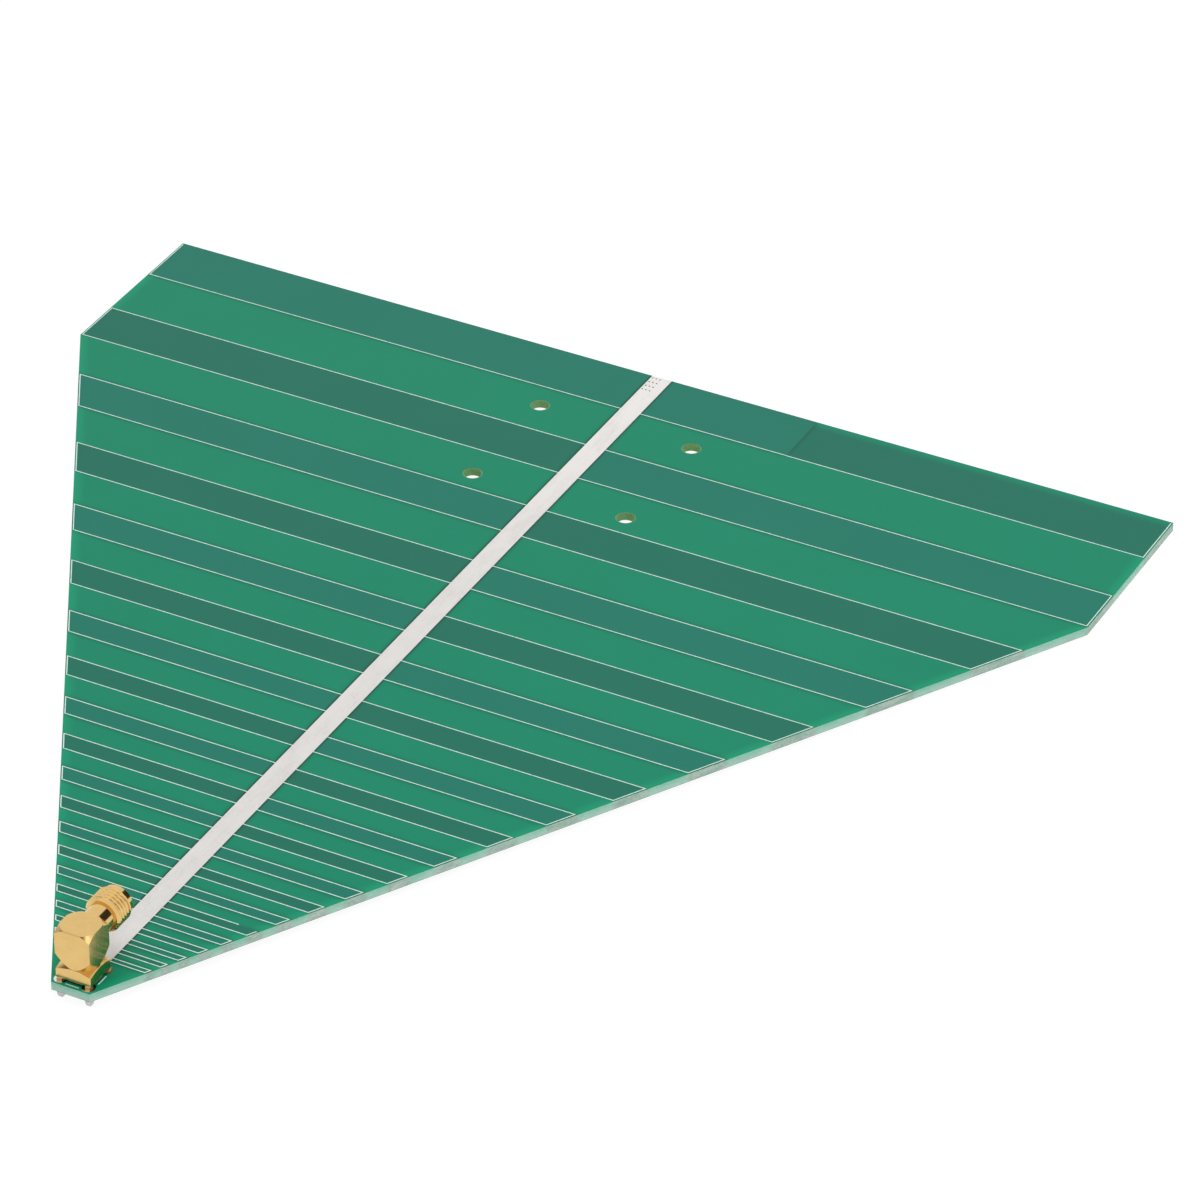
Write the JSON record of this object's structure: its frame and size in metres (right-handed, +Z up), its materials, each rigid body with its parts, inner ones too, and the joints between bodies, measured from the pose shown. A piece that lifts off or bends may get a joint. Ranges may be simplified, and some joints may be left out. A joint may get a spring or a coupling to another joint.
{
  "type": "log-periodic antenna",
  "caption": "House-shaped green circuit board with alternating etched dipole halves along a bare tinned boom, fed by a gold right-angle coaxial jack at its tip.",
  "frame": {"origin": "middle of the four mounting holes, on the underside of the board", "axes": "+X across the elements, +Y along the boom from the tip to the rear edge, +Z up out of the component side"},
  "size_m": [0.198, 0.2015, 0.0138],
  "materials": {
    "glass_epoxy": "cut edge of woven glass and resin",
    "copper": "etched foil",
    "green_lacquer": "smooth translucent lacquer",
    "tin": "levelled tin",
    "white_print": "printed ink",
    "gold_plate": "gold-plated brass",
    "white_plastic": "waxy turned plastic",
    "solder": "satin solder"
  },
  "bodies": {
    "root": {"laminate": "glass_epoxy", "top_copper": "copper", "bottom_copper": "copper", "top_solder_mask": "green_lacquer", "bottom_solder_mask": "green_lacquer", "top_boom_tin": "tin", "bottom_boom_tin": "tin", "boom_end_vias": "tin", "leg_hole_plating": "tin", "feed_hole_plating": "tin", "top_legend": "white_print", "jack_body": "gold_plate", "jack_barrel": "gold_plate", "centre_contact": "gold_plate", "feed_pin": "gold_plate", "barrel_insulator": "white_plastic", "pin_insulator": "white_plastic", "leg_solder": "solder", "feed_solder": "solder"}
  },
  "joints": []
}
